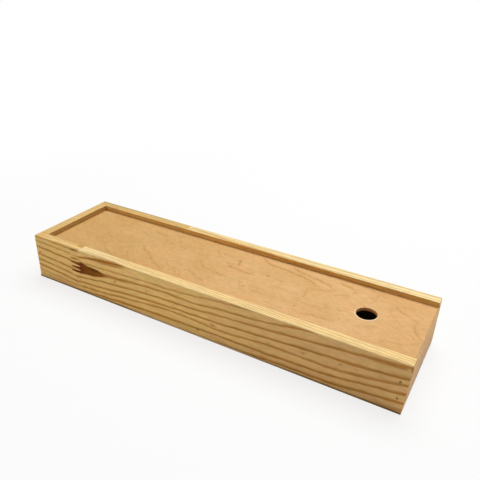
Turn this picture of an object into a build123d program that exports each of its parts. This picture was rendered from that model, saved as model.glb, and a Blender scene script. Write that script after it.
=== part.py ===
from build123d import *
import os

# A long, low pine box for artists' brushes.  Two side boards stand the full
# length, each finger-jointed from two pieces, with the end boards glued and
# bradded between them.  A plywood lid with a finger hole slides in grooves and
# comes out over the low front board.  A thin hardboard bottom is nailed under
# the frame.
#
# Frame: origin at the middle of the box's outline, on the underside, +X along
# the box towards the open front that the lid slides out of, +Z up.  The near
# side is at -Y, where the finger joint is close to the rear end.  Millimetres.

# Driving dimensions
LENGTH = 366.0              # of the frame at its foot
WIDTH = 100.0
HEIGHT = 46.0
SIDE_THICKNESS = 9.5
END_THICKNESS = 10.0
BOTTOM_THICKNESS = 2.0
LID_THICKNESS = 3.0
LID_RECESS = 4.7            # from the top of the frame down to the lid's upper face
NEAR_END_LEAN = 1.5         # the near board's front end is sawn off square, its top this far out

# Lid groove and the room the lid has in it
GROOVE_DEPTH = 4.5
LID_GAP_BELOW = 0.15
LID_GAP_ABOVE = 0.20
LID_GAP_SIDE = 2.0
LID_GAP_REAR = 1.0

# Finger hole in the lid
HOLE_DIAMETER = 17.2
HOLE_FROM_FRONT = 48.0
HOLE_OFF_CENTRE = 0.8
HOLE_EASING = 0.3

# Finger joints that lengthen the side boards
NEAR_JOINT_FROM_REAR = 46.5
FAR_JOINT_FROM_REAR = 116.0
FINGER_LENGTH = 11.0
FINGER_PITCH = 4.46
FINGER_TIP_WIDTH = 1.0
FINGER_TIP_GAP = 0.3
FINGER_FLANK = FINGER_PITCH / 2 - FINGER_TIP_WIDTH

# Eased edges
CORNER_EASING = 1.6         # upright corners at the rear
OUTER_EASING = 1.2          # top edge, outside
INNER_EASING = 0.5          # top edge, inside
FRONT_EASING = 0.4          # around the front ends
LID_FRONT_EASING = 0.8
LID_EASING = 0.3

# Shape that the brads and the bottom's nails share
NAIL_HEAD_THICKNESS = 0.7
NAIL_SHANK_DIAMETER = 1.2
NAIL_POINT = 1.5

# Brads through the sides into the end boards, heads punched below the surface
BRAD_LENGTH = 25.0
BRAD_HEIGHTS = (13.9, 29.2)
BRAD_HEAD_DIAMETER = 1.9
BRAD_SINK = 0.8

# Small nails that hold the bottom, heads just below its face
BOTTOM_NAIL_LENGTH = 14.0
BOTTOM_NAIL_HEAD_DIAMETER = 2.6
BOTTOM_NAIL_SINK = 0.2
BOTTOM_NAILS_PER_SIDE = 5
BOTTOM_NAIL_INSET = 20.0
BOTTOM_SETBACK = 0.2        # the bottom is cut a little smaller than the frame

# Places that follow from the dimensions
REAR = -(LENGTH + NEAR_END_LEAN) / 2
FRONT = REAR + LENGTH
NEAR = -WIDTH / 2
FAR = WIDTH / 2
REAR_INSIDE = REAR + END_THICKNESS
FRONT_INSIDE = FRONT - END_THICKNESS
NEAR_INSIDE = NEAR + SIDE_THICKNESS
FAR_INSIDE = FAR - SIDE_THICKNESS
LID_TOP = HEIGHT - LID_RECESS
LID_UNDERSIDE = LID_TOP - LID_THICKNESS
GROOVE_FLOOR = LID_UNDERSIDE - LID_GAP_BELOW
GROOVE_CEILING = LID_TOP + LID_GAP_ABOVE
PAST = 2.0                  # how far a cutting block runs past what it cuts


def block(x_span, y_span, z_span):
    """Plain block between two planes on each axis."""
    size = [high - low for low, high in (x_span, y_span, z_span)]
    corner = Pos(x_span[0], y_span[0], z_span[0])
    return corner * Box(*size, align=(Align.MIN, Align.MIN, Align.MIN))


def nail(length, head_diameter):
    """Nail with its head's top at the origin and its point along +Z."""
    head = head_diameter / 2
    shank = NAIL_SHANK_DIAMETER / 2
    outline = Polyline(
        (0, 0, 0),
        (head, 0, 0),
        (head, 0, NAIL_HEAD_THICKNESS),
        (shank, 0, NAIL_HEAD_THICKNESS),
        (shank, 0, length - NAIL_POINT),
        (shank / 4, 0, length),
        (0, 0, length),
        close=True,
    )
    return revolve(make_face(outline), axis=Axis.Z)


def punched_pocket(depth, head_diameter):
    """Hole that the punch leaves above a nail's head, from the surface down."""
    pocket = Cylinder(head_diameter / 2, depth + PAST, align=(Align.CENTER, Align.CENTER, Align.MIN))
    return Pos(0, 0, -depth - PAST) * pocket


def corner_brad_places(x):
    """Places of the brads that hold one end board, head first into both sides."""
    places = []
    for height in BRAD_HEIGHTS:
        near_head = (x, NEAR + BRAD_SINK, height)
        far_head = (x, FAR - BRAD_SINK, height)
        places.append(Plane(origin=near_head, x_dir=(1, 0, 0), z_dir=(0, 1, 0)).location)
        places.append(Plane(origin=far_head, x_dir=(1, 0, 0), z_dir=(0, -1, 0)).location)
    return places


def bottom_nail_places():
    """Places of the nails under the bottom: a row in each side, one in each end."""
    last = BOTTOM_NAILS_PER_SIDE - 1
    spacing = (LENGTH - 2 * BOTTOM_NAIL_INSET) / last
    side_middle = (WIDTH - SIDE_THICKNESS) / 2
    spots = [(REAR + END_THICKNESS / 2, 0), (FRONT - END_THICKNESS / 2, 0)]
    for number in range(BOTTOM_NAILS_PER_SIDE):
        x = REAR + BOTTOM_NAIL_INSET + number * spacing
        spots += [(x, -side_middle), (x, side_middle)]
    return [Pos(x, y, BOTTOM_NAIL_SINK) for x, y in spots]


CORNER_BRAD = nail(BRAD_LENGTH, BRAD_HEAD_DIAMETER)
CORNER_POCKET = punched_pocket(BRAD_SINK, BRAD_HEAD_DIAMETER)
BOTTOM_NAIL = nail(BOTTOM_NAIL_LENGTH, BOTTOM_NAIL_HEAD_DIAMETER)
BOTTOM_POCKET = punched_pocket(BOTTOM_NAIL_SINK, BOTTOM_NAIL_HEAD_DIAMETER)

FRONT_PLACES = corner_brad_places(FRONT - END_THICKNESS / 2)
REAR_PLACES = corner_brad_places(REAR + END_THICKNESS / 2)
BOTTOM_PLACES = bottom_nail_places()


def nailed(board):
    """The board with the holes that the nails have made in it."""
    for place in FRONT_PLACES + REAR_PLACES:
        board = board - place * CORNER_BRAD - place * CORNER_POCKET
    for place in BOTTOM_PLACES:
        board = board - place * BOTTOM_NAIL - place * BOTTOM_POCKET
    return board


def inner_edge_rounding():
    """Cutter that eases the near board's inner top edge, from the rear end board forward."""
    edge_y = NEAR_INSIDE - INNER_EASING
    edge_z = HEIGHT - INNER_EASING
    length = FRONT + PAST - REAR_INSIDE
    strip = block((REAR_INSIDE, FRONT + PAST), (edge_y, NEAR_INSIDE + PAST), (edge_z, HEIGHT))
    bar = Cylinder(INNER_EASING, length, align=(Align.CENTER, Align.CENTER, Align.MIN))
    return strip - Pos(REAR_INSIDE, edge_y, edge_z) * Rot(0, 90, 0) * bar


def near_side_blank(lean):
    """Near side board before its finger joint divides it: sawn, grooved and eased."""
    foot = FRONT + lean * BOTTOM_THICKNESS / HEIGHT
    corners = [(REAR, BOTTOM_THICKNESS), (foot, BOTTOM_THICKNESS), (FRONT + lean, HEIGHT), (REAR, HEIGHT)]
    outline = make_face(Polyline(*[(x, NEAR, z) for x, z in corners], close=True))
    board = extrude(outline, amount=SIDE_THICKNESS, dir=(0, 1, 0))
    rear_corner = board.edges().filter_by(Axis.Z).sort_by(Axis.Y)[:2].sort_by(Axis.X)[0]
    board = fillet(rear_corner, CORNER_EASING)
    top = board.faces().sort_by(Axis.Z)[-1].edges()
    inner_edge = top.sort_by(Axis.Y)[-1]
    front_edge = top.sort_by(Axis.X)[-1]
    board = fillet([edge for edge in top if edge not in (inner_edge, front_edge)], OUTER_EASING)
    front = board.faces().sort_by(Axis.X)[-1].edges()
    inside = front.sort_by(Axis.Y)[-1]
    underneath = front.sort_by(Axis.Z)[0]
    board = fillet([edge for edge in front if edge not in (inside, underneath)], FRONT_EASING)
    groove_depth = (NEAR_INSIDE - GROOVE_DEPTH, NEAR_INSIDE + PAST)
    board = board - block((REAR - PAST, FRONT + PAST), groove_depth, (GROOVE_FLOOR, GROOVE_CEILING))
    return board - inner_edge_rounding()


def far_side_blank():
    """Far side board before its finger joint divides it: the near one mirrored, with a square end."""
    return mirror(near_side_blank(0), about=Plane.XZ)


def front_of_joint(tips_from_rear, first_root_height):
    """Region in front of a finger joint, through the whole board, its fingers pointing to the rear."""
    tips = REAR + tips_from_rear
    roots = tips + FINGER_LENGTH
    z = first_root_height
    points = [(FRONT + PAST, z + PAST), (roots, z + PAST)]
    while z > BOTTOM_THICKNESS:
        tip_top = z - FINGER_FLANK
        tip_bottom = tip_top - FINGER_TIP_WIDTH
        points += [(roots, z), (tips, tip_top), (tips, tip_bottom), (roots, tip_bottom - FINGER_FLANK)]
        z -= FINGER_PITCH
    points += [(roots, z), (FRONT + PAST, z)]
    outline = make_face(Polyline(*[(x, 0, height) for x, height in points], close=True))
    return extrude(outline, amount=WIDTH, both=True, dir=(0, 1, 0))


# The near board's top finger belongs to its short piece, the far one's to its long piece
NEAR_JOINT = front_of_joint(NEAR_JOINT_FROM_REAR, HEIGHT)
FAR_JOINT = front_of_joint(FAR_JOINT_FROM_REAR, HEIGHT + FINGER_FLANK)


def near_side_long_board():
    """Front part of the near side board, its fingers a glue gap short of their slots."""
    return nailed(near_side_blank(NEAR_END_LEAN) & Pos(FINGER_TIP_GAP, 0, 0) * NEAR_JOINT)


def near_side_short_board():
    """Rear part of the near side board."""
    return nailed(near_side_blank(NEAR_END_LEAN) - NEAR_JOINT)


def far_side_long_board():
    """Front part of the far side board, its fingers a glue gap short of their slots."""
    return nailed(far_side_blank() & Pos(FINGER_TIP_GAP, 0, 0) * FAR_JOINT)


def far_side_short_board():
    """Rear part of the far side board."""
    return nailed(far_side_blank() - FAR_JOINT)


def rear_end_board():
    """Full-height end board, grooved for the lid's rear edge."""
    board = block((REAR, REAR_INSIDE), (NEAR_INSIDE, FAR_INSIDE), (BOTTOM_THICKNESS, HEIGHT))
    outer_top = board.faces().sort_by(Axis.Z)[-1].edges().sort_by(Axis.X)[0]
    board = fillet(outer_top, OUTER_EASING)
    inner_top = board.faces().sort_by(Axis.Z)[-1].edges().sort_by(Axis.X)[-1]
    board = fillet(inner_top, INNER_EASING)
    groove_depth = (REAR_INSIDE - GROOVE_DEPTH, REAR_INSIDE + PAST)
    board = board - block(groove_depth, (NEAR, FAR), (GROOVE_FLOOR, GROOVE_CEILING))
    return nailed(board)


def front_end_board():
    """Low end board that the lid slides over."""
    board = block((FRONT_INSIDE, FRONT), (NEAR_INSIDE, FAR_INSIDE), (BOTTOM_THICKNESS, GROOVE_FLOOR))
    outer_top = board.faces().sort_by(Axis.Z)[-1].edges().sort_by(Axis.X)[-1]
    return nailed(fillet(outer_top, FRONT_EASING))


def bottom_panel():
    """Hardboard sheet under the whole frame."""
    panel = block(
        (REAR + BOTTOM_SETBACK, FRONT - BOTTOM_SETBACK),
        (NEAR + BOTTOM_SETBACK, FAR - BOTTOM_SETBACK),
        (0, BOTTOM_THICKNESS),
    )
    return nailed(panel)


def lid_panel():
    """Plywood lid with its finger hole, pushed home into the rear groove."""
    half_width = WIDTH / 2 - SIDE_THICKNESS + GROOVE_DEPTH - LID_GAP_SIDE
    rear = REAR_INSIDE - GROOVE_DEPTH + LID_GAP_REAR
    panel = block((rear, FRONT), (-half_width, half_width), (LID_UNDERSIDE, LID_TOP))
    front_top = panel.faces().sort_by(Axis.Z)[-1].edges().sort_by(Axis.X)[-1]
    panel = fillet(front_top, LID_FRONT_EASING)
    hole_centre = (FRONT - HOLE_FROM_FRONT, HOLE_OFF_CENTRE, (LID_TOP + LID_UNDERSIDE) / 2)
    panel = panel - Pos(*hole_centre) * Cylinder(HOLE_DIAMETER / 2, 2 * LID_THICKNESS)
    rims = panel.edges().filter_by(GeomType.CIRCLE).filter_by(lambda edge: edge.radius > HOLE_DIAMETER / 4)
    panel = fillet(rims, HOLE_EASING)
    return fillet(panel.edges().filter_by(Axis.X), LID_EASING)


def group(shape, places):
    """One solid at each place, kept together as one node."""
    return Compound(children=[place * shape for place in places])


NODES = {
    "near_side_long_board": near_side_long_board(),
    "near_side_short_board": near_side_short_board(),
    "far_side_long_board": far_side_long_board(),
    "far_side_short_board": far_side_short_board(),
    "rear_end_board": rear_end_board(),
    "front_end_board": front_end_board(),
    "bottom_panel": bottom_panel(),
    "lid_panel": lid_panel(),
    "front_corner_brads": group(CORNER_BRAD, FRONT_PLACES),
    "rear_corner_brads": group(CORNER_BRAD, REAR_PLACES),
    "bottom_nails": group(BOTTOM_NAIL, BOTTOM_PLACES),
}

os.makedirs("parts", exist_ok=True)
for name, shape in NODES.items():
    export_step(shape, f"parts/{name}.step")
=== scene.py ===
"""Looks of a pine brush box with a sliding plywood lid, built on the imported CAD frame."""

from math import radians

import bpy
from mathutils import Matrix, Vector

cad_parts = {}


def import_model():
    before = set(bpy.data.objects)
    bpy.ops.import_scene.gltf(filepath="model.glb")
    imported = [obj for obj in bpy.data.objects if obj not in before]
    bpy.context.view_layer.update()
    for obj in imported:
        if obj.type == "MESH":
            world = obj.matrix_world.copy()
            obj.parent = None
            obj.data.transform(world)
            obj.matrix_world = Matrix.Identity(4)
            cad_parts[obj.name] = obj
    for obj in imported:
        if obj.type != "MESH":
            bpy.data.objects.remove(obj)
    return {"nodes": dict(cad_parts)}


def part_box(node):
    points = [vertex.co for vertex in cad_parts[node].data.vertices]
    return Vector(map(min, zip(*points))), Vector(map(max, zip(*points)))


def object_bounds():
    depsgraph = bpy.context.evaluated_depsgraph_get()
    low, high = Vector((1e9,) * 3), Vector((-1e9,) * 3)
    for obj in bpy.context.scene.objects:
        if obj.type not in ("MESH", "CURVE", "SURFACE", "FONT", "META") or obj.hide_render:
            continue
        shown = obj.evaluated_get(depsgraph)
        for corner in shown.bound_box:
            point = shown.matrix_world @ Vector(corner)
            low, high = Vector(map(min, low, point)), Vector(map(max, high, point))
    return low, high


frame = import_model()
CAD_LOW, CAD_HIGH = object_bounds()
MM = 0.001

# Millimetres from the box's lowest corner: X from the rear, Y from the near side, Z up.
# LENGTH stops at the square front ends: the near board's end leans out a little further.
LENGTH = (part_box("far_side_long_board")[1].x - CAD_LOW.x) / MM
WIDTH = (CAD_HIGH.y - CAD_LOW.y) / MM
LID_MIDDLE = (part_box("lid_panel")[0].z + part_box("lid_panel")[1].z) / 2 / MM


# ---------------------------------------------------------------- shader fields

TRACK_GAP = 2.0     # least distance in mm between two strokes of one track
LINE_CORE = 0.2     # share of a stroke's halfwidth that has its full strength
HALO_REACH = 3.5    # a halo's reach, in halfwidths of its stroke
FACTOR, FIRST, SECOND, MIXED = 0, 6, 7, 2       # the Mix node's sockets for colours


def spread(start, end, heights):
    """Points for a curve, their places evenly spaced from start to end."""
    step = (end - start) / (len(heights) - 1)
    return [(start + step * number, height) for number, height in enumerate(heights)]


def side_by_side(strokes):
    """Shares strokes out over tracks, so that a track's strokes follow each other.

    A stroke is its strength, its start, its end and the heights between them.
    """
    tracks = []
    for stroke in sorted(strokes, key=lambda stroke: stroke[1]):
        start = stroke[1]
        for track in tracks:
            last_end = track[-1][2]
            if start > last_end + TRACK_GAP:
                track.append(stroke)
                break
        else:
            tracks.append([stroke])
    return tracks


class Field:
    """A number that varies over a surface, with the arithmetic to combine it with others."""

    def __init__(self, graph, socket):
        self.graph = graph
        self.socket = socket

    def _math(self, operation, *others):
        return self.graph.math(operation, self, *others)

    def __add__(self, other):
        return self._math("ADD", other)

    def __sub__(self, other):
        return self._math("SUBTRACT", other)

    def __mul__(self, other):
        return self._math("MULTIPLY", other)

    def __truediv__(self, other):
        return self._math("DIVIDE", other)

    def __rsub__(self, other):
        return self.graph.math("SUBTRACT", other, self)

    __radd__ = __add__

    def fraction(self):
        return self._math("FRACT")

    def whole(self):
        return self._math("FLOOR")

    def size(self):
        return self._math("ABSOLUTE")

    def higher(self, other):
        return self._math("MAXIMUM", other)

    def ease(self, start, end):
        """0 up to start, 1 from end on and smooth between; start may be the larger."""
        if start > end:
            return 1.0 - self.ease(end, start)
        node = self.graph.add("ShaderNodeMapRange", interpolation_type="SMOOTHSTEP")
        self.graph.feed(node.inputs["Value"], self)
        node.inputs["From Min"].default_value = start
        node.inputs["From Max"].default_value = end
        return Field(self.graph, node.outputs["Result"])

    def near(self, value, reach):
        """1 at value, falling smoothly to 0 at reach from it."""
        return (self - value).size().ease(reach, 0.0)


class Graph:
    """One material's nodes, with the surface's place in millimetres and its facing."""

    def __init__(self, name):
        self.material = bpy.data.materials.new(name)
        self.material.use_nodes = True
        self.tree = self.material.node_tree
        self.surface = self.tree.nodes["Principled BSDF"]
        coordinates = self.add("ShaderNodeTexCoord")
        place = self.split(coordinates.outputs["Object"])
        self.x, self.y, self.z = [axis / MM - low / MM for axis, low in zip(place, CAD_LOW)]
        self.facing_x, self.facing_y, self.facing_z = self.split(coordinates.outputs["Normal"])

    def add(self, kind, **settings):
        node = self.tree.nodes.new(kind)
        for name, value in settings.items():
            setattr(node, name, value)
        return node

    def feed(self, socket, value):
        """Links a field or a colour's socket to an input, or sets the input's value."""
        if isinstance(value, Field):
            value = value.socket
        if isinstance(value, bpy.types.NodeSocket):
            self.tree.links.new(value, socket)
        elif isinstance(value, tuple):
            socket.default_value = (*value, 1.0)
        else:
            socket.default_value = value

    def split(self, vector):
        node = self.add("ShaderNodeSeparateXYZ")
        self.feed(node.inputs[0], vector)
        return [Field(self, node.outputs[axis]) for axis in "XYZ"]

    def math(self, operation, *values):
        node = self.add("ShaderNodeMath", operation=operation)
        for socket, value in zip(node.inputs, values):
            self.feed(socket, value)
        return Field(self, node.outputs[0])

    def noise(self, x, y, z=0.0, detail=2.0, roughness=0.5):
        """Smooth noise from 0 to 1, with one feature for each unit of x, y and z."""
        place = self.add("ShaderNodeCombineXYZ")
        for socket, value in zip(place.inputs, (x, y, z)):
            self.feed(socket, value)
        node = self.add("ShaderNodeTexNoise")
        self.feed(node.inputs["Vector"], place.outputs[0])
        node.inputs["Scale"].default_value = 1.0
        node.inputs["Detail"].default_value = detail
        node.inputs["Roughness"].default_value = roughness
        return Field(self, node.outputs["Fac"])

    def curve(self, along, points, bends="AUTO", beyond="EXTRAPOLATED"):
        """Line through points, each of them a place along it and its height there."""
        node = self.add("ShaderNodeFloatCurve")
        node.mapping.use_clip = False
        node.mapping.extend = beyond
        start, end = points[0][0], points[-1][0]
        knots = node.mapping.curves[0].points
        while len(knots) < len(points):
            knots.new(0.5, 0.5)
        for knot, (place, height) in zip(knots, points):
            knot.location = ((place - start) / (end - start), height / WIDTH)
            knot.handle_type = bends
        node.mapping.update()
        self.feed(node.inputs["Value"], (along - start) / (end - start))
        return Field(self, node.outputs["Value"]) * WIDTH

    def strokes(self, along, across, reach, strokes, halfwidth, fading):
        """Shares of soft lines along strokes, up to reach, and of their halos.

        A line is gone at halfwidth from its middle, and fades in and out over a share of
        its length, fading.
        """
        lines = 0.0
        halos = 0.0
        for track in side_by_side(strokes):
            places = []
            strengths = [(0.0, 0.0)]
            for strength, start, end, heights in track:
                fade = (end - start) * fading
                places += spread(start, end, heights)
                strengths += [(start, 0.0), (start + fade, strength)]
                strengths += [(end - fade, strength), (end, 0.0)]
            strengths.append((reach, 0.0))
            aside = (across - self.curve(along, places, "AUTO_CLAMPED", "HORIZONTAL")).size()
            presence = self.curve(along, strengths, "VECTOR", "HORIZONTAL")
            line = aside.ease(halfwidth, halfwidth * LINE_CORE)
            halo = aside.ease(halfwidth * HALO_REACH, halfwidth)
            lines = (line * presence).higher(lines)
            halos = (halo * presence).higher(halos)
        return lines, halos

    def mix(self, share, first, second):
        """The first colour where share is 0, the second where it is 1."""
        node = self.add("ShaderNodeMix", data_type="RGBA")
        self.feed(node.inputs[FACTOR], share)
        self.feed(node.inputs[FIRST], first)
        self.feed(node.inputs[SECOND], second)
        return node.outputs[MIXED]

    def shade(self, colour, amount):
        """A colour made lighter or darker: amount 1 leaves it as it is."""
        node = self.add("ShaderNodeVectorMath", operation="SCALE")
        self.feed(node.inputs[0], colour)
        self.feed(node.inputs["Scale"], amount)
        return node.outputs[0]

    def finish(self, colour, roughness, height, depth_mm, specular):
        """Sets the surface, its relief height (0 to 1) being depth_mm deep."""
        relief = self.add("ShaderNodeBump")
        self.feed(relief.inputs["Height"], height)
        relief.inputs["Strength"].default_value = 1.0
        relief.inputs["Distance"].default_value = depth_mm * MM
        self.feed(self.surface.inputs["Base Color"], colour)
        self.feed(self.surface.inputs["Roughness"], roughness)
        self.feed(self.surface.inputs["Normal"], relief.outputs["Normal"])
        self.surface.inputs["Specular IOR Level"].default_value = specular
        return self.material


# ---------------------------------------------------------------- pine

EARLYWOOD = (0.89, 0.585, 0.198)
PINK_EARLYWOOD = (0.86, 0.510, 0.205)
OLIVE_EARLYWOOD = (0.83, 0.590, 0.205)
TAN_TOP = (0.77, 0.515, 0.20)
END_TOP = (0.73, 0.505, 0.20)
DULL_TOP = (0.69, 0.44, 0.175)
SHADED_TOP = (0.70, 0.47, 0.18)
STRAW_TOP = (0.79, 0.588, 0.260)
PALE_TOP = (0.90, 0.66, 0.305)
PALEST_TOP = (0.92, 0.72, 0.37)
LATEWOOD = (0.44, 0.165, 0.024)
AMBER_LATEWOOD = (0.54, 0.21, 0.024)
OLIVE_EDGE = (0.40, 0.30, 0.14)
# Darker orange painted on inner faces as their shade inside the box
PAINTED_INSIDE_SHADE = (0.78, 0.44, 0.12)
# Grey painted on the front board's outer face as a sheen of grazing light
GRAZING_SHEEN_GREY = (0.80, 0.53, 0.33)
KNOT = (0.18, 0.045, 0.003)
KNOT_RED = (0.155, 0.028, 0.005)
KNOT_DARK = (0.13, 0.032, 0.001)
KNOT_TAIL = (0.44, 0.18, 0.014)
KNOT_TIP = (0.27, 0.088, 0.006)

NEAR_TILT = 2.8         # mm that the near long board's rings rise for each mm inwards
SHORT_TILT = 1.3        # the same for the short piece behind it
NEAR_JOINT = 51.0       # where the near side's two pieces meet, as its top shows
FAR_JOINT = 116.0       # the same for the far side

# The near long board's dark grain lines: strength, then heights evenly spaced over its range
NEAR_RANGE = (60, 360)
NEAR_GRAIN = [
    (0.90, 38.6, 43.0, 45.3, 47.5, 50.0, 52.0, 54.0, 56.0, 58.0, 60.0, 62.0, 64.0, 66.0),
    (0.65, 32.8, 34.2, 35.6, 37.1, 37.7, 39.6, 42.9, 44.8, 47.0, 49.0, 51.0, 53.0, 55.0),
    (0.80, 27.0, 28.8, 30.2, 31.8, 33.0, 32.7, 35.3, 37.0, 39.7, 44.2, 47.0, 49.0, 50.5),
    (0.85, 17.0, 20.0, 22.3, 24.6, 25.6, 26.8, 29.0, 30.8, 32.7, 35.3, 37.6, 39.9, 42.7),
    (0.90, 11.3, 13.1, 15.9, 18.2, 19.6, 20.6, 21.4, 23.2, 24.9, 26.7, 28.1, 29.6, 32.6),
    (0.80, 6.3, 8.2, 11.0, 13.4, 15.8, 15.7, 14.3, 16.0, 18.0, 18.1, 18.4, 21.3, 26.0),
    (0.90, 1.5, 3.4, 5.2, 6.5, 7.4, 7.8, 8.6, 8.5, 9.1, 10.1, 11.2, 14.8, 18.1),
    (0.90, -5.0, -3.5, -2.0, -1.0, 0.0, 0.6, 1.2, 1.6, 3.2, 3.9, 4.2, 7.0, 9.9),
    (0.60, -11.0, -9.5, -8.0, -7.0, -6.5, -6.0, -5.5, -5.0, -4.5, -4.0, -2.5, 0.0, 2.6),
]
# Its orange-brown streaks: strength, start and end, then evenly spaced heights between them
NEAR_STREAKS = [
    (1.00, 54, 122, (37.8, 40.8, 42.4, 44.4, 45.6)),
    (0.70, 76, 117, (40.0, 41.1, 42.3, 43.8)),
    (0.70, 84, 122, (28.2, 28.9, 30.2)),
    (0.60, 92, 184, (3.4, 5.6, 6.6, 7.0, 7.6)),
    (0.70, 334, 374, (39.4, 40.2, 41.4, 42.4)),
]
# Its flecks: place along and up, length, thickness, strength, and a tint other than LATEWOOD
NEAR_FLECKS = [
    (100.0, 25.9, 2.8, 1.8, 0.75, KNOT_TIP),
    (190, 7.2, 3.6, 1.5, 0.9),
    (205, 17.6, 5.4, 1.5, 0.8),
    (245, 24, 4.0, 1.2, 0.5),
    (287, 23.3, 4.2, 1.1, 0.8),
    (257, 20.8, 4.0, 0.9, 0.5),
    (317, 25.8, 3.2, 1.2, 0.8),
    (329, 26, 5.0, 0.9, 0.5),
    (136, 27.6, 2.6, 1.5, 0.4),
    (368.0, 42.0, 2.4, 5.0, 1.0, KNOT_TIP),     # dark mark at the front end's top corner, painted shade of the groove's gap
]
# The knot's upper and lower outlines, as heights evenly spaced over its range
KNOT_RANGE = (50, 98)
KNOT_TOP = (32.6, 33.8, 32.0, 31.9, 30.9, 29.2, 28.6)
KNOT_BOTTOM = (20.9, 21.0, 21.8, 22.9, 24.5, 26.3, 27.5)
# The dark grain lines of the short piece, behind the finger joint
SHORT_RANGE = (0, 57)
SHORT_GRAIN = [
    (0.80, 45.4, 44.8, 43.6),
    (0.65, 40.3, 39.4, 38.2),
    (1.00, 34.0, 32.7, 30.8),
    (1.00, 26.0, 24.5, 21.7),
    (0.85, 19.9, 18.3, 15.4),
    (1.00, 14.5, 12.5, 9.3),
    (0.55, 8.3, 7.0, 5.0),
    (0.35, 4.2, 3.3, 2.0),
]


class Pine(Graph):
    """Sanded pine board: along runs with its grain, depth in from its outer face.

    flat and inner are the shares of a surface that faces up, or into the box.
    """

    def __init__(self, name, side):
        super().__init__(name)
        if side in ("near", "far"):
            self.along = self.x
            self.end_facing = self.facing_x.size()
            self.depth = self.y if side == "near" else WIDTH - self.y
            self.inward = self.facing_y if side == "near" else 0.0 - self.facing_y
        else:
            self.along = self.y
            self.end_facing = self.facing_y.size()
            self.depth = self.x if side == "rear" else LENGTH - self.x
            self.inward = self.facing_x if side == "rear" else 0.0 - self.facing_x
        self.flat = self.facing_z.ease(0.1, 0.7)
        self.inner = self.inward.ease(0.4, 0.9)

    def latewood(self, above):
        """Dark edge of a growth ring: above is the distance to its line in mm."""
        return above.ease(2.6, 0.3) * above.ease(-0.9, -0.1)

    def even_rings(self, count, spacing):
        """Latewood of rings that count numbers, spacing mm apart."""
        above = (1.0 - count.fraction()) * spacing
        strength = self.noise(count.whole() * 3.7, self.along / 80) * 1.1 + 0.15
        return self.latewood(above) * strength

    def grain(self, rows, span, tilt, spacing):
        """Latewood of the lines in rows, over their span, then of even rings below the last."""
        wander = (self.noise(self.along / 11, self.depth / 4, self.z / 5, 3.0) - 0.5) * 2.1
        height = self.z - self.depth * tilt + wander
        bulge = self.noise(self.along / 30, self.z / 6)
        swell = bulge * 1.1 + self.along.ease(180, 340) * 0.3 + 0.4
        late = 0.0
        for strength, *heights in rows:
            line = self.curve(self.along, spread(*span, heights))
            late = (self.latewood((height - line) / swell) * strength).higher(late)
        below = (line - height) / spacing
        return (self.even_rings(below, spacing) * below.ease(0.0, 0.1)).higher(late)

    def fleck(self, colour, along, height, length, thickness, strength, tint=LATEWOOD):
        """Small dark mark on the near face, its middle at along and height."""
        reach = ((self.along - along) / length).size() + ((self.z - height) / thickness).size()
        share = reach.ease(1.0, 0.2) * self.depth.ease(1.5, 0.5) * strength
        return self.mix(share, colour, tint)

    def board(self, late, top_tint, tone=1.0, rosy=0.0, inside=0.9, marks=None):
        """The finished board: late is its share of latewood, inside how dark its inner face is
        painted as shade (1 for none).

        top_tint colours its top's earlywood, paler there in part as a painted sheen, rosy turns
        the rest pinker, tone lightens or darkens all but the top as painted light and shade, and
        marks adds what this board alone shows.
        """
        fibre = self.noise(self.along / 18, self.depth * 2.2, self.z * 2.2, 3.0, 0.6)
        mottle = self.noise(self.along / 8, self.depth / 1.5, self.z / 1.5, 3.0, 0.65)
        cloud = self.noise(self.along / 45, self.depth / 14, self.z / 14)
        blush = self.noise(self.along / 22 + 7, self.depth / 5, self.z / 5)
        canals = self.noise(self.along / 2.5, self.depth * 5, self.z * 5, 1.0).ease(0.7, 0.8)
        end = self.end_facing.ease(0.6, 0.9)
        early = self.mix(blush.ease(0.45, 0.66) * 0.7 + rosy, EARLYWOOD, PINK_EARLYWOOD)
        early = self.mix(blush.ease(0.45, 0.30) * 0.5, early, OLIVE_EARLYWOOD)
        # Inner faces painted a darker orange, as their shade
        early = self.mix(self.inner * 0.7, early, PAINTED_INSIDE_SHADE)
        # Up-facing faces take the top's tint: partly the wood's own paler top, partly a painted
        # sheen from the lamp above, reaching down the rounded edges as a painted highlight
        early = self.mix(self.flat, early, top_tint)
        dark = self.mix(blush.ease(0.35, 0.6), LATEWOOD, AMBER_LATEWOOD)
        colour = self.mix(late * (1.0 - self.flat * 0.4) * (1.0 - self.inner * 0.4), early, dark)
        if marks:
            colour = marks(self, colour)
        pores = self.noise(self.along * 1.5, self.depth * 6, self.z * 6, 2.0, 0.7)
        # End-grain faces are lifted about an eighth as painted light; their pores darken them as
        # the wood's own
        colour = self.shade(colour, 1.0 + end * (0.12 - pores.ease(0.45, 0.7) * 0.25))
        # Painted shade inside the box: inner faces darker still below the lid
        painted_shade_below_lid = self.inner * self.z.ease(36.5, 35.5) * 0.25
        # Painted shade on the inner faces: inside sets how dark, 1 for none
        inner_painted_shade = self.inner * (inside - 1.0) + 1.0 - painted_shade_below_lid
        colour = self.shade(colour, (1.0 - canals * 0.2) * inner_painted_shade)
        # Painted shade down the outer vertical edge at the end where each board's run starts
        corner = self.depth.near(0.0, 1.3) * self.along.near(0.0, 1.7)
        colour = self.shade(colour, 1.0 - corner * 0.6)
        grain = fibre * 0.35 + mottle * 0.60 + cloud * 0.25 + 0.40
        # tone: painted light and shade on all but the top
        colour = self.shade(colour, grain * ((1.0 - self.flat) * (tone - 1.0) + 1.0))
        height = late * 0.5 + fibre * 0.6 - canals * 0.4
        return self.finish(colour, fibre * 0.16 + 0.54, height, 0.05, specular=0.05)


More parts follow.
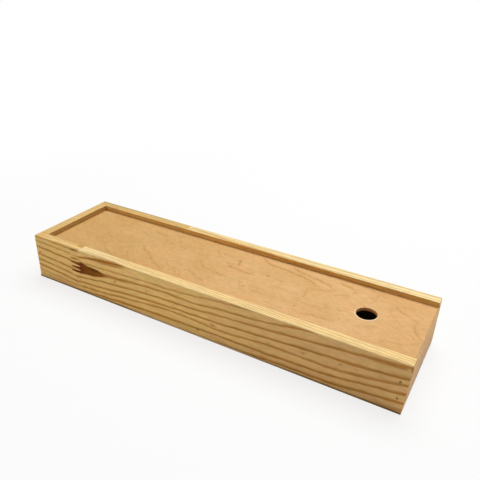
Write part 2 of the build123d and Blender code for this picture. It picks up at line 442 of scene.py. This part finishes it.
def near_long_marks(g, colour):
    """The dark knot that the joint cuts, finger tips as dark, streaks and small flecks."""
    top = g.curve(g.along, spread(*KNOT_RANGE, KNOT_TOP))
    bottom = g.curve(g.along, spread(*KNOT_RANGE, KNOT_BOTTOM))
    fray = (g.noise(g.along / 7, g.depth / 3, g.z / 1.1, 3.0) - 0.5) * 3.0
    inside = (top - g.z + fray).ease(-0.5, 0.7) * (g.z - bottom + fray).ease(-0.6, 0.7)
    share = inside * g.along.ease(99.0, 84.0)
    threads = g.noise(g.along / 12, g.depth / 3, g.z - g.along / 9, 3.0, 0.6).ease(0.30, 0.70)
    core = g.along.near(76.0, 14.0) * (top - g.z).ease(5.0, 1.2)
    red = g.along.ease(70.0, 58.0)
    knot = g.mix(red, KNOT, KNOT_RED)
    knot = g.mix(threads * (0.5 - red * 0.25), knot, KNOT_TAIL)
    knot = g.mix(core * 0.7, knot, KNOT_DARK)
    knot = g.mix(g.along.ease(78.0, 92.0) * 0.9, knot, KNOT_TAIL)
    colour = g.mix(share, colour, g.shade(knot, threads * 0.5 + 0.7))
    tips = g.along.ease(61.0, 52.0) * (g.z.near(44.5, 2.4) + g.z.near(35.5, 2.0) * 0.9)
    colour = g.mix(tips, colour, KNOT_TIP)
    level = g.z - g.depth * NEAR_TILT
    streaks, _ = g.strokes(g.along, level, LENGTH, NEAR_STREAKS, halfwidth=2.0, fading=0.3)
    resin = g.mix(g.z.ease(18.0, 12.0), LATEWOOD, AMBER_LATEWOOD)
    colour = g.mix(streaks * (1.0 - g.flat * 0.4), colour, resin)
    for fleck in NEAR_FLECKS:
        colour = g.fleck(colour, *fleck)
    return colour


def near_long_board():
    """Front piece of the near side, its lines fainter along the top's outer edge."""
    g = Pine("Pine_near_long", "near")
    rim = g.z.ease(45.0, 45.7) * g.depth.ease(3.0, 1.0)
    late = g.grain(NEAR_GRAIN, NEAR_RANGE, NEAR_TILT, spacing=7.0) * (1.0 - rim * 0.7)
    top_tint = g.mix(g.along.ease(125.0, 75.0) * 0.8, PALE_TOP, PALEST_TOP)
    # Painted light and shade: lighter towards the rear and low down
    tone = 1.10 - g.along.ease(120.0, 366.0) * 0.16 - g.z.ease(6.0, 30.0) * 0.08
    rosy = g.along.ease(140.0, 340.0) * 0.8
    return g.board(late, top_tint, tone, rosy, marks=near_long_marks)


def near_short_marks(g, colour):
    """Cream strip along the top, and a dark line along its inner edge and at the joint."""
    cream = g.depth.near(3.4, 2.6) * g.along.ease(8.0, 20.0) * g.flat
    colour = g.mix(cream * 0.6, colour, PALE_TOP)
    edge = g.depth.ease(8.2, 9.2) * g.along.ease(28.0, 34.0)
    joint = g.along.ease(NEAR_JOINT - 0.2, NEAR_JOINT + 0.8) * g.depth.ease(4.5, 6.5)
    return g.mix(edge.higher(joint) * g.flat * 0.50, colour, KNOT_TAIL)


def near_short_board():
    """Rear piece of the near side, its top duller towards the inside."""
    g = Pine("Pine_near_short", "near")
    late = g.grain(SHORT_GRAIN, SHORT_RANGE, SHORT_TILT, spacing=6.0) * 0.95
    top_tint = g.mix(g.depth.ease(5.5, 7.5) * g.along.ease(16.0, 28.0), TAN_TOP, DULL_TOP)
    # Painted light: lighter low down
    tone = 1.06 - g.z.ease(8.0, 42.0) * 0.08
    return g.board(late, top_tint, tone, marks=near_short_marks)


def far_marks(g, colour):
    """Olive strip along the outer top edge towards the rear, and a tan streak across the top."""
    top = g.facing_z.ease(0.2, 0.9)
    rim = g.depth.near(1.6, 2.8) * top
    colour = g.mix(rim * (g.along.ease(110.0, 40.0) * 0.7 + 0.1), colour, OLIVE_EDGE)
    middle = g.along.ease(120.0, 175.0) * 4.6 + 3.6
    reach = g.along.ease(FAR_JOINT, 138.0) * g.along.ease(245.0, 190.0)
    streak = (g.depth - middle).near(0.0, 2.4) * reach
    return g.mix(streak * top * 0.45, colour, AMBER_LATEWOOD)


def far_top(g):
    """Top of the far side's long piece: palest towards the front and the outer edge."""
    paler = g.along.ease(118.0, 270.0).higher(g.depth.ease(6.5, 4.0) * 0.8)
    return g.mix(paler, STRAW_TOP, PALEST_TOP)


def far_piece(name, inside, long):
    """A piece of the far side board, its inner face painted darker high up towards the front, as
    shade.
    """
    g = Pine(name, "far")
    count = (g.depth * 1.1 + g.z * 0.5 + g.along * 0.016 - 1.7) / 5.0
    sway = (g.noise(g.along / 40, g.depth / 9, g.z / 9) - 0.5) * 0.5
    late = g.even_rings(count + sway, 5.0)
    tint = far_top(g) if long else SHADED_TOP
    # Painted shade on the inner face above the lid, towards the front
    inside = inside - g.along.ease(220.0, 320.0) * g.z.ease(41.5, 43.0) * 0.19
    return g.board(late, tint, inside=inside, marks=far_marks)


def front_marks(g, colour):
    """Outer face painted greyer, most of all low down: a painted sheen of grazing light."""
    outer = (0.0 - g.inward).ease(0.4, 0.9)
    return g.mix(outer * (0.35 + g.z.ease(34.0, 8.0) * 0.35), colour, GRAZING_SHEEN_GREY)


def end_piece(name, side, tone, marks=None):
    """An end board, its grain across the box, painted darker low down and on its inner face as
    shade.
    """
    g = Pine(name, side)
    count = (g.z * 0.9 + g.depth * 1.6 + g.along * 0.04) / 6.0
    sway = (g.noise(g.along / 30, g.depth / 9, g.z / 9) - 0.5) * 0.6
    late = g.even_rings(count + sway, 6.0) * 0.8
    # Painted shade: darker low down, rising to 1.10 at the top
    tone = tone + g.z.ease(6.0, 38.0) * (1.10 - tone)
    return g.board(late, END_TOP, tone, rosy=0.5, inside=0.60, marks=marks)


# ---------------------------------------------------------------- lid, bottom, nails

HOLE_X, HOLE_Y, HOLE_RADIUS = 318.0, 50.8, 8.6
FIGURE_HALFWIDTH = 1.2
# The lid's rear and front colours: lighter to the front as painted light, the front tip darker
# again as painted shade
VENEER_REAR = (0.640, 0.385, 0.150)
VENEER_FRONT = (0.750, 0.458, 0.206)
VENEER_END = (0.70, 0.395, 0.160)
ROSY_REAR = (0.70, 0.39, 0.145)
ROSY_FRONT = (0.78, 0.44, 0.195)
VENEER_DARK = (0.38, 0.14, 0.012)
VENEER_BROWN = (0.58, 0.33, 0.105)
# Colour of the painted shade line on the lid along the rear board
PAINTED_GAP_SHADE = (0.33, 0.155, 0.030)
PLY_PALE = (0.92, 0.56, 0.27)
PLY_CORE = (0.66, 0.36, 0.16)
HOLE_WALL = (0.88, 0.43, 0.135)
WORN_AND_LIT_RIM = (0.95, 0.76, 0.52)
HARDBOARD_EDGE = (0.27, 0.15, 0.062)
HARDBOARD_PALE_EDGE = (0.72, 0.48, 0.255)
HARDBOARD_DARK = (0.15, 0.075, 0.032)
HARDBOARD_LIGHT = (0.36, 0.21, 0.105)
RUST_DARK = (0.27, 0.14, 0.028)
RUST_LIGHT = (0.42, 0.25, 0.066)
FILLER_DARK = (0.66, 0.42, 0.14)
FILLER_LIGHT = (0.84, 0.56, 0.20)

# Dark lines of the lid's figure: strength, start and end along X, then evenly spaced
# places in Y
FIGURE = [
    (0.45, 86, 109, (79.0, 77.4, 76.2, 75.4, 73.8)),
    (0.32, 109, 123, (81.2, 81.4, 82.4)),
    (0.28, 117, 124, (76.0, 73.2, 70.6)),
    (0.25, 56, 69, (83.6, 81.6, 80.2, 79.2)),
    (0.16, 31, 48, (81.4, 79.6, 78.4, 77.6)),
    (0.18, 70, 94, (70.2, 69.2, 68.2, 66.8, 65.0)),
    (0.22, 44, 62, (38.4, 34.0, 31.4, 30.2)),
    (0.38, 60, 84, (29.8, 27.2, 21.6, 19.0, 17.6)),
    (0.40, 93, 141, (48.8, 44.4, 39.8, 36.9, 32.4, 27.2, 24.2, 21.2, 19.0)),
    (0.36, 90, 98, (29.4, 25.6, 22.0)),
    (0.20, 59, 69, (42.8, 39.6, 35.6)),
    (0.18, 83, 88, (22.4, 20.6, 18.6)),
    (0.22, 132, 138, (35.0, 32.0, 29.4)),
    (0.32, 139, 152, (40.6, 38.6, 36.4, 34.2)),
    (0.24, 144, 153, (28.6, 25.4, 22.0)),
    (0.34, 157, 196, (52.8, 46.8, 42.8, 41.9, 41.1, 40.3, 39.8)),
    (0.24, 156, 186, (33.4, 30.4, 27.4, 24.6, 21.8, 19.4)),
    (0.26, 161, 171, (77.8, 73.6, 67.2)),
    (0.20, 158, 190, (76.8, 75.4, 74.2, 73.0, 71.8)),
    (0.30, 180, 191, (62.8, 60.4, 63.6)),
    (0.46, 181, 215, (55.4, 57.6, 56.4, 55.2, 55.2, 56.6)),
    (0.20, 198, 228, (62.4, 62.4, 61.2, 61.0, 60.2)),
    (0.54, 202, 272, (89.6, 83.4, 79.4, 79.0, 78.1, 76.4, 74.4, 71.2, 66.0)),
    (0.50, 233, 287, (89.0, 84.2, 81.2, 79.2, 77.0, 73.9, 69.0)),
    (0.46, 282, 301, (83.6, 82.0, 80.6, 77.4)),
    (0.30, 262, 287, (59.8, 61.6, 64.2, 67.2, 70.2)),
    (0.28, 285, 299, (61.8, 64.4, 67.0, 69.6)),
    (0.20, 232, 264, (48.8, 48.0, 46.8, 46.4, 47.2)),
    (0.22, 256, 289, (40.2, 39.2, 38.2, 37.8, 38.6, 41.0)),
    (0.18, 284, 296, (34.4, 33.8, 33.0)),
    (0.34, 268, 302, (22.8, 23.8, 25.7, 26.0, 26.6, 28.8)),
    (0.26, 211, 221, (30.2, 28.6, 28.2)),
    (0.28, 219, 238, (35.4, 32.0, 31.4, 31.0)),
    (0.36, 334, 358, (72.4, 69.4, 65.8, 62.6, 58.2)),
    (0.22, 333, 347, (61.4, 57.2, 52.8, 48.6)),
    (0.26, 299, 330, (88.2, 87.4, 85.2, 82.4, 79.2)),
    (0.22, 334, 364, (21.8, 23.2, 25.0, 28.2, 33.6)),
    (0.16, 338, 352, (74.6, 76.2, 78.4)),
    (0.16, 312, 334, (29.0, 32.0, 36.0, 38.6)),
]
# The same for lines that run across the lid: start and end along Y, then places in X
CROSS_FIGURE = [
    (0.48, 61, 73, (194.0, 192.0, 189.4)),
    (0.40, 72, 78, (298.6, 300.0, 300.4)),
    (0.28, 44, 62, (262.2, 264.8, 264.4, 263.0, 262.2)),
    (0.20, 40, 50, (287.4, 286.0, 282.4)),
    (0.26, 29, 40, (213.6, 210.8, 208.0)),
    (0.32, 38, 59, (364.6, 360.6, 357.0, 355.2, 356.8)),
    (0.18, 60, 70, (333.2, 333.8, 333.0)),
    (0.22, 68, 84, (316.8, 318.0, 318.4, 317.4)),
]
# Small dark flecks in the veneer: place in X and Y, size, strength
VENEER_FLECKS = [
    (134.4, 63.4, 2.0, 0.7),
    (151.4, 61.2, 2.0, 0.9),
    (225, 60.4, 3.6, 0.7),
    (238.6, 58.8, 2.8, 0.5),
    (264, 30.8, 2.2, 0.9),
    (243, 37, 1.8, 0.4),
    (277, 24.6, 2.2, 0.7),
    (253.6, 62.4, 2.4, 0.5),
    (191.2, 70, 3.0, 0.9),
    (337, 72, 2.0, 0.6),
    (302, 32, 1.6, 0.6),
    (120, 82, 2.6, 0.4),
    (188, 57.2, 3.2, 0.9),
    (167, 28.8, 2.8, 0.6),
    (214.6, 33.8, 3.0, 0.7),
    (184, 60.6, 2.6, 0.6),
]


def lid_figure(g):
    """Shares of the veneer's dark figure, its lines broken and unsteady, and of their halos."""
    x = g.x + (g.noise(g.x / 7, g.y / 7) - 0.5) * 2.6
    y = g.y + (g.noise(g.x / 7 + 9, g.y / 7) - 0.5) * 2.6
    broken = g.noise(g.x / 5 + 3, g.y / 5).ease(0.30, 0.60) * 0.8 + 0.5
    lines, halos = g.strokes(x, y, LENGTH, FIGURE, FIGURE_HALFWIDTH, fading=0.15)
    cross = g.strokes(y, x, WIDTH, CROSS_FIGURE, FIGURE_HALFWIDTH, fading=0.15)
    cross_lines, cross_halos = cross
    share = cross_lines.higher(lines) * broken
    for along, across, size, strength in VENEER_FLECKS:
        spot = ((x - along) / size).size() + ((y - across) / size * 1.4).size()
        share = (spot.ease(1.0, 0.2) * strength).higher(share)
    return share, cross_halos.higher(halos)


def veneer(g, figure, halos):
    """Colour of the lid's faces: clouds, rosy patches, faint contours, and the figure, painted
    lighter towards the front as light, and with a painted shade line along the rear board.
    """
    cloud = g.noise(g.x / 60, g.y / 28, detail=1.0)
    drift = g.noise(g.x / 15 + 5, g.y / 7, detail=2.0)
    blush = g.noise(g.x / 26 + 4, g.y / 13)
    relief = g.noise(g.x / 70 + 3.1, g.y / 30, detail=1.6, roughness=0.55) * 11.0
    contour = (relief.fraction() - 0.5).size().ease(0.43, 0.5)
    patchy = g.noise(g.x / 17, g.y / 9 + 5).ease(0.42, 0.62)
    # Painted light: colours run from darker at the rear to lighter towards the front, the brown
    # clouds thinning there
    forward = g.x.ease(10.0, 330.0)
    colour = g.mix(forward, VENEER_REAR, VENEER_FRONT)
    # Painted shade: the front tip dims a little again
    colour = g.mix(g.x.ease(312.0, 345.0) * 0.45, colour, VENEER_END)
    rosy = g.mix(forward, ROSY_REAR, ROSY_FRONT)
    colour = g.mix(blush.ease(0.48, 0.68) * 0.6, colour, rosy)
    brown = cloud.ease(0.62, 0.34) * 0.45 + drift.ease(0.52, 0.34) * 0.30
    colour = g.mix(brown * (1.0 - forward * 0.45), colour, VENEER_BROWN)
    colour = g.mix(halos * 0.60, colour, VENEER_BROWN)
    colour = g.mix(contour * patchy * 0.22, colour, VENEER_DARK)
    colour = g.mix(figure * 0.70, colour, VENEER_DARK)
    # Painted shade: a dark line on the lid where it meets the rear board
    painted_shade_by_rear_board = g.x.ease(12.8, 11.0)
    return g.mix(painted_shade_by_rear_board * 0.85, colour, PAINTED_GAP_SHADE)


def plywood():
    """Rotary-cut face veneer, plies at the edges, and a pale rim round the finger hole: wear,
    with a painted highlight on its near side.
    """
    g = Graph("Plywood")
    fibre = g.noise(g.x / 9, g.y * 2.2, g.z * 2.2, 3.0, 0.6)
    ripple = g.noise((g.x - g.y) / 16 + 2, (g.x + g.y) / 3.4, detail=3.0, roughness=0.6)
    mottle = g.noise(g.x / 6, g.y / 2.4, detail=3.0, roughness=0.6)
    figure, halos = lid_figure(g)
    colour = veneer(g, figure, halos)
    edge = g.facing_z.size().ease(0.7, 0.4)
    core = g.z.near(LID_MIDDLE, 0.8).ease(0.0, 0.2) * 0.7
    ply = g.mix(core, PLY_PALE, PLY_CORE)
    off_x, off_y = g.x - HOLE_X, g.y - HOLE_Y
    off = g.math("SQRT", off_x * off_x + off_y * off_y)
    ply = g.mix(off.ease(14.0, 12.0), ply, HOLE_WALL)
    # The pale rim is wear all round, and a painted highlight where it is stronger on the near
    # side
    rim_wear_and_highlight = off.near(HOLE_RADIUS + 0.5, 1.1) * (off_y.ease(3.0, -5.0) * 0.6 + 0.2)
    colour = g.mix(rim_wear_and_highlight, colour, WORN_AND_LIT_RIM)
    colour = g.mix(edge, colour, ply)
    colour = g.shade(colour, fibre * 0.25 + mottle * 0.32 + ripple * 0.20 + 0.615)
    return g.finish(colour, fibre * 0.1 + 0.48, fibre - figure * 0.5, 0.03, specular=0.08)


def hardboard():
    """Pressed brown fibre, its upper face painted dark as the shade inside the box, its edge
    paler along the middle.
    """
    g = Graph("Hardboard")
    speck = g.noise(g.x * 1.5, g.y * 1.5, g.z * 1.5, 4.0, 0.7)
    cloud = g.noise(g.x / 20, g.y / 20)
    flat = g.facing_z.size().ease(0.4, 0.9)
    upper = g.facing_z.ease(0.4, 0.9)
    fibres = g.noise(g.x / 3.0, g.y / 3.0, 0.0, 4.0, 0.75).ease(0.35, 0.75)
    paler = g.x.ease(108.0, 135.0) * g.x.ease(300.0, 215.0) * 0.80
    edge = g.mix(speck * 0.4 + paler, HARDBOARD_EDGE, HARDBOARD_PALE_EDGE)
    edge = g.shade(edge, 1.0 - g.x.ease(325.0, 360.0) * 0.20)
    face = g.mix(fibres * 0.6 + speck * 0.4, HARDBOARD_DARK, HARDBOARD_LIGHT)
    colour = g.mix(flat, edge, face)
    # Upward faces painted seven tenths darker, as the shade inside the box
    colour = g.shade(colour, (cloud * 0.3 + 0.85) * (1.0 - upper * 0.7))
    return g.finish(colour, speck * 0.2 + 0.7, speck, 0.03, specular=0.05)


def nail(name, dark, light, metallic):
    """A nail's finish: scratched, from dark to light."""
    g = Graph(name)
    scratch = g.noise(g.x * 9, g.y * 2, g.z * 9, 3.0)
    g.surface.inputs["Metallic"].default_value = metallic
    return g.finish(g.mix(scratch, dark, light), scratch * 0.2 + 0.5, scratch, 0.01, specular=0.2)


def dress():
    """Gives every CAD node its finish."""
    rusty = nail("Nail_rusty", RUST_DARK, RUST_LIGHT, metallic=0.2)
    filled = nail("Nail_filled_over", FILLER_DARK, FILLER_LIGHT, metallic=0.0)
    finishes = {
        "near_side_long_board": near_long_board(),
        "near_side_short_board": near_short_board(),
        "far_side_long_board": far_piece("Pine_far_long", 1.0, long=True),
        "far_side_short_board": far_piece("Pine_far_short", 0.9, long=False),
        "rear_end_board": end_piece("Pine_rear", "rear", 1.0),
        # the front board's lower tone, 0.93, is painted shade
        "front_end_board": end_piece("Pine_front", "front", 0.93, front_marks),
        "bottom_panel": hardboard(),
        "lid_panel": plywood(),
        "front_corner_brads": rusty,
        "rear_corner_brads": filled,
        "bottom_nails": rusty,
    }
    for name, material in finishes.items():
        mesh = frame["nodes"][name].data
        mesh.materials.clear()
        mesh.materials.append(material)


# ---------------------------------------------------------------- stage

# The camera was fitted to the box's edges in the photo
CAMERA_PLACE = (0.21757, -0.36017, 0.28682)
CAMERA_TURN = (61.187, -1.517, 29.847)      # degrees about X, Y, Z
CAMERA_LENS = 40.534
CAMERA_SENSOR = 36.0
CAMERA_SHIFT = 0.03125
HEM = 0.2 * MM          # how far the floor reaches under the box
FLOOR_HALF = 6.0        # metres from the floor's middle to its sides
FLOOR_COLOUR = (0.9, 0.9, 0.9)
WHITE_NEAR_BOX = 0.8    # share of plain white over the floor's own shading there
WHITE = (1.0, 1.0, 1.0)
WORLD_LIGHT = 0.2


def camera():
    """The photo's viewpoint and framing."""
    data = bpy.data.cameras.new("Camera")
    data.lens = CAMERA_LENS
    data.sensor_width = CAMERA_SENSOR
    data.shift_y = CAMERA_SHIFT
    data.clip_start = 0.01
    data.clip_end = 50.0
    rig = bpy.data.objects.new("Camera", data)
    rig.location = CAMERA_PLACE
    rig.rotation_euler = [radians(angle) for angle in CAMERA_TURN]
    bpy.context.scene.collection.objects.link(rig)
    bpy.context.scene.camera = rig


def whiten(tree, shader, output, share=None):
    """Shows a share of plain white over a shader to the camera, to gloss and to glass."""
    path = tree.nodes.new("ShaderNodeLightPath")
    seen = path.outputs["Is Camera Ray"]
    for ray in ("Is Glossy Ray", "Is Transmission Ray"):
        either = tree.nodes.new("ShaderNodeMath")
        either.operation = "MAXIMUM"
        tree.links.new(seen, either.inputs[0])
        tree.links.new(path.outputs[ray], either.inputs[1])
        seen = either.outputs[0]
    if share:
        part = tree.nodes.new("ShaderNodeMath")
        part.operation = "MULTIPLY"
        tree.links.new(seen, part.inputs[0])
        tree.links.new(share, part.inputs[1])
        seen = part.outputs[0]
    white = tree.nodes.new("ShaderNodeEmission")
    both = tree.nodes.new("ShaderNodeMixShader")
    tree.links.new(seen, both.inputs[0])
    tree.links.new(shader.outputs[0], both.inputs[1])
    tree.links.new(white.outputs[0], both.inputs[2])
    tree.links.new(both.outputs[0], output.inputs["Surface"])


def floor():
    """White floor that keeps the box's soft shadow, open just where the box covers it."""
    mesh = bpy.data.meshes.new("Floor")
    half = FLOOR_HALF
    low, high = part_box("bottom_panel")
    low, high = low + Vector((HEM, HEM, 0.0)), high - Vector((HEM, HEM, 0.0))
    rim = [(-half, -half, 0), (half, -half, 0), (half, half, 0), (-half, half, 0)]
    opening = [(low.x, low.y, 0), (high.x, low.y, 0), (high.x, high.y, 0), (low.x, high.y, 0)]
    after = (1, 2, 3, 0)
    sides = [(side, after[side], after[side] + 4, side + 4) for side in range(4)]
    mesh.from_pydata(rim + opening, [], sides)
    sheet = bpy.data.objects.new("Floor", mesh)
    bpy.context.scene.collection.objects.link(sheet)
    g = Graph("Floor_white")
    g.feed(g.surface.inputs["Base Color"], FLOOR_COLOUR)
    g.surface.inputs["Roughness"].default_value = 0.9
    g.surface.inputs["Specular IOR Level"].default_value = 0.0
    out_x = (g.x - LENGTH / 2) / LENGTH
    out_y = (g.y - WIDTH / 2) / LENGTH
    far_out = (out_x * out_x + out_y * out_y).ease(0.3, 2.5)
    share = far_out * (1.0 - WHITE_NEAR_BOX) + WHITE_NEAR_BOX
    whiten(g.tree, g.surface, g.tree.nodes["Material Output"], share.socket)
    mesh.materials.append(g.material)


def world():
    """Weak even light, with white surroundings to look at."""
    surroundings = bpy.data.worlds.new("World")
    bpy.context.scene.world = surroundings
    surroundings.use_nodes = True
    tree = surroundings.node_tree
    light = tree.nodes["Background"]
    light.inputs["Color"].default_value = (*WHITE, 1.0)
    light.inputs["Strength"].default_value = WORLD_LIGHT
    whiten(tree, light, tree.nodes["World Output"])


def softbox(name, place, size, power):
    """Rectangular lamp turned towards the box, its power in watts."""
    data = bpy.data.lights.new(name, "AREA")
    data.shape = "RECTANGLE"
    data.size, data.size_y = size
    data.energy = power
    lamp = bpy.data.objects.new(name, data)
    lamp.location = place
    lamp.rotation_euler = (-Vector(place)).to_track_quat("-Z", "Y").to_euler()
    bpy.context.scene.collection.objects.link(lamp)


def stage():
    """Camera, floor, surroundings and two soft lamps."""
    bpy.context.scene.view_settings.view_transform = "Standard"
    camera()
    floor()
    world()
    softbox("Overhead", (0.10, 0.50, 1.35), (1.4, 0.9), 20.8)
    softbox("Fill", (-0.45, -1.35, 0.40), (0.8, 0.8), 2.8)


dress()
stage()
